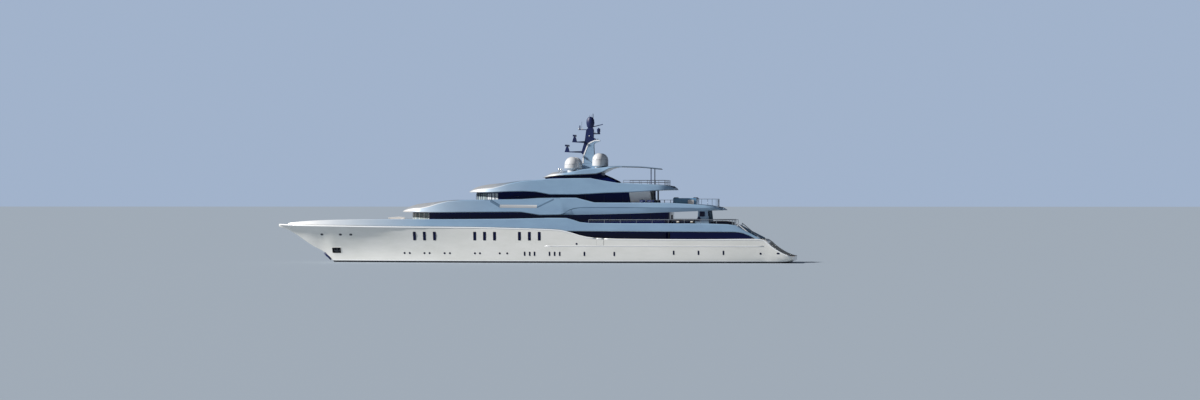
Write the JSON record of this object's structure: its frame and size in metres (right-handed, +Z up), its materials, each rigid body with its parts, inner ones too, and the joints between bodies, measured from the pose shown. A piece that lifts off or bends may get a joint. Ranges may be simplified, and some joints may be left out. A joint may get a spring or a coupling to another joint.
{
  "type": "motor yacht, 1:2 scale model",
  "caption": "Long motor yacht on the water with stacked open decks, dark wrap-round glazing, a domed mast, and turning screws, rudders, fins, doors and gates; 1:2 scale model.",
  "frame": {"origin": "amidships on the centreline, at the still waterline", "axes": "+X towards the stern, +Y to starboard, +Z up"},
  "size_m": [38.85, 5.9, 13.04],
  "materials": {
    "hull_paint": "gloss, cream white",
    "bottom_paint": "matt, dark navy",
    "deck_paint": "gloss, silver blue metallic",
    "white_paint": "gloss",
    "mast_paint": "gloss, dark navy",
    "dome_white": "gloss",
    "tinted_glass": "clear coat, nearly black",
    "steel": "polished",
    "bronze": "polished bronze",
    "teak": "oiled",
    "upholstery": "woven, sand"
  },
  "bodies": {
    "yacht": {"hull": "hull_paint", "stern": "hull_paint", "foredeck": "deck_paint", "upper_deck": "deck_paint", "after_deck": "deck_paint", "bridge_deck": "deck_paint", "sun_deck": "deck_paint", "hardtop": "deck_paint", "main_house": "white_paint", "main_glazing": "tinted_glass", "upper_house": "white_paint", "upper_glazing": "tinted_glass", "bridge_house": "white_paint", "bridge_glazing": "tinted_glass", "top_house": "white_paint", "top_glazing": "tinted_glass", "bulwark_port": "hull_paint", "bulwark_starboard": "hull_paint", "after_screen_port": "tinted_glass", "after_screen_starboard": "tinted_glass", "shaft_port": "steel", "shaft_starboard": "steel", "anchor_port": "steel", "anchor_starboard": "steel", "side_rail_port": "steel", "side_rail_starboard": "steel", "stern_stair_port": "deck_paint", "stern_stair_starboard": "deck_paint", "dome_forward_port": "dome_white", "dome_forward_starboard": "dome_white", "dome_after_port": "dome_white", "dome_after_starboard": "dome_white", "mast": "mast_paint", "sun_rail": "steel", "bridge_screen": "tinted_glass", "main_sofa": "upholstery", "dining_table": "teak", "lounge_screen": "tinted_glass", "spa_pool": "white_paint", "windlass": "steel", "boat_crane": "white_paint"},
    "screw_port": {"screw_port": "bronze"},
    "screw_starboard": {"screw_starboard": "bronze"},
    "rudder_port": {"rudder_port": "bottom_paint"},
    "rudder_starboard": {"rudder_starboard": "bottom_paint"},
    "fin_port": {"fin_port": "bottom_paint"},
    "fin_starboard": {"fin_starboard": "bottom_paint"},
    "radar_lower": {"radar_lower": "mast_paint"},
    "radar_upper": {"radar_upper": "mast_paint"},
    "transom_hatch": {"transom_hatch": "hull_paint"},
    "gate_port": {"gate_port": "hull_paint"},
    "gate_starboard": {"gate_starboard": "hull_paint"},
    "wing_door_port": {"wing_door_port": "tinted_glass"},
    "wing_door_starboard": {"wing_door_starboard": "tinted_glass"},
    "main_door_port": {"main_door_port": "tinted_glass"},
    "main_door_starboard": {"main_door_starboard": "tinted_glass"},
    "upper_door_port": {"upper_door_port": "tinted_glass"},
    "upper_door_starboard": {"upper_door_starboard": "tinted_glass"},
    "bridge_door_port": {"bridge_door_port": "tinted_glass"},
    "bridge_door_starboard": {"bridge_door_starboard": "tinted_glass"}
  },
  "joints": [
    {"name": "screw_port_spin", "type": "hinge", "parent": "yacht", "child": "screw_port", "pos_m": [15.75, -1.25, -1.2], "axis": [1, 0, 0], "continuous": true},
    {"name": "screw_starboard_spin", "type": "hinge", "parent": "yacht", "child": "screw_starboard", "pos_m": [15.75, 1.25, -1.2], "axis": [1, 0, 0], "continuous": true},
    {"name": "rudder_port_steer", "type": "hinge", "parent": "yacht", "child": "rudder_port", "pos_m": [16.7, -1.25, -0.5], "axis": [0, 0, 1], "range_deg": [-35, 35]},
    {"name": "rudder_starboard_steer", "type": "hinge", "parent": "yacht", "child": "rudder_starboard", "pos_m": [16.7, 1.25, -0.5], "axis": [0, 0, 1], "range_deg": [-35, 35]},
    {"name": "fin_port_tilt", "type": "hinge", "parent": "yacht", "child": "fin_port", "pos_m": [0.6, -2.49596, -1.39857], "axis": [0, -0.766, -0.6428], "range_deg": [-20, 20]},
    {"name": "fin_starboard_tilt", "type": "hinge", "parent": "yacht", "child": "fin_starboard", "pos_m": [0.6, 2.49596, -1.39857], "axis": [0, 0.766, -0.6428], "range_deg": [-20, 20]},
    {"name": "radar_lower_spin", "type": "hinge", "parent": "yacht", "child": "radar_lower", "pos_m": [2.42, 0, 8.6], "axis": [0, 0, 1], "continuous": true},
    {"name": "radar_upper_spin", "type": "hinge", "parent": "yacht", "child": "radar_upper", "pos_m": [2.98, 0, 9.34], "axis": [0, 0, 1], "continuous": true},
    {"name": "transom_hatch_lift", "type": "hinge", "parent": "yacht", "child": "transom_hatch", "pos_m": [17.5143, 0, 1.15], "axis": [0, -1, 0], "range_deg": [0, 80]},
    {"name": "gate_port_swing", "type": "hinge", "parent": "yacht", "child": "gate_port", "pos_m": [4.95, -2.8257, 1.5], "axis": [0, 0, 1], "range_deg": [0, 90]},
    {"name": "gate_starboard_swing", "type": "hinge", "parent": "yacht", "child": "gate_starboard", "pos_m": [4.95, 2.8257, 1.5], "axis": [0, 0, -1], "range_deg": [0, 90]},
    {"name": "wing_door_port_swing", "type": "hinge", "parent": "yacht", "child": "wing_door_port", "pos_m": [-1.5, -1.8643, 4.4], "axis": [0, 0, -1], "range_deg": [0, 90]},
    {"name": "wing_door_starboard_swing", "type": "hinge", "parent": "yacht", "child": "wing_door_starboard", "pos_m": [-1.5, 1.8643, 4.4], "axis": [0, 0, 1], "range_deg": [0, 90]},
    {"name": "main_door_port_slide", "type": "slide", "parent": "yacht", "child": "main_door_port", "axis": [0, -1, 0], "range_m": [0, 0.66]},
    {"name": "main_door_starboard_slide", "type": "slide", "parent": "yacht", "child": "main_door_starboard", "axis": [0, 1, 0], "range_m": [0, 0.66]},
    {"name": "upper_door_port_slide", "type": "slide", "parent": "yacht", "child": "upper_door_port", "axis": [0, -1, 0], "range_m": [0, 0.66]},
    {"name": "upper_door_starboard_slide", "type": "slide", "parent": "yacht", "child": "upper_door_starboard", "axis": [0, 1, 0], "range_m": [0, 0.66]},
    {"name": "bridge_door_port_slide", "type": "slide", "parent": "yacht", "child": "bridge_door_port", "axis": [0, -1, 0], "range_m": [0, 0.66]},
    {"name": "bridge_door_starboard_slide", "type": "slide", "parent": "yacht", "child": "bridge_door_starboard", "axis": [0, 1, 0], "range_m": [0, 0.66]}
  ],
  "couplings": [
    {"joint": "rudder_starboard_steer", "follows": "rudder_port_steer", "ratio": 1}
  ]
}
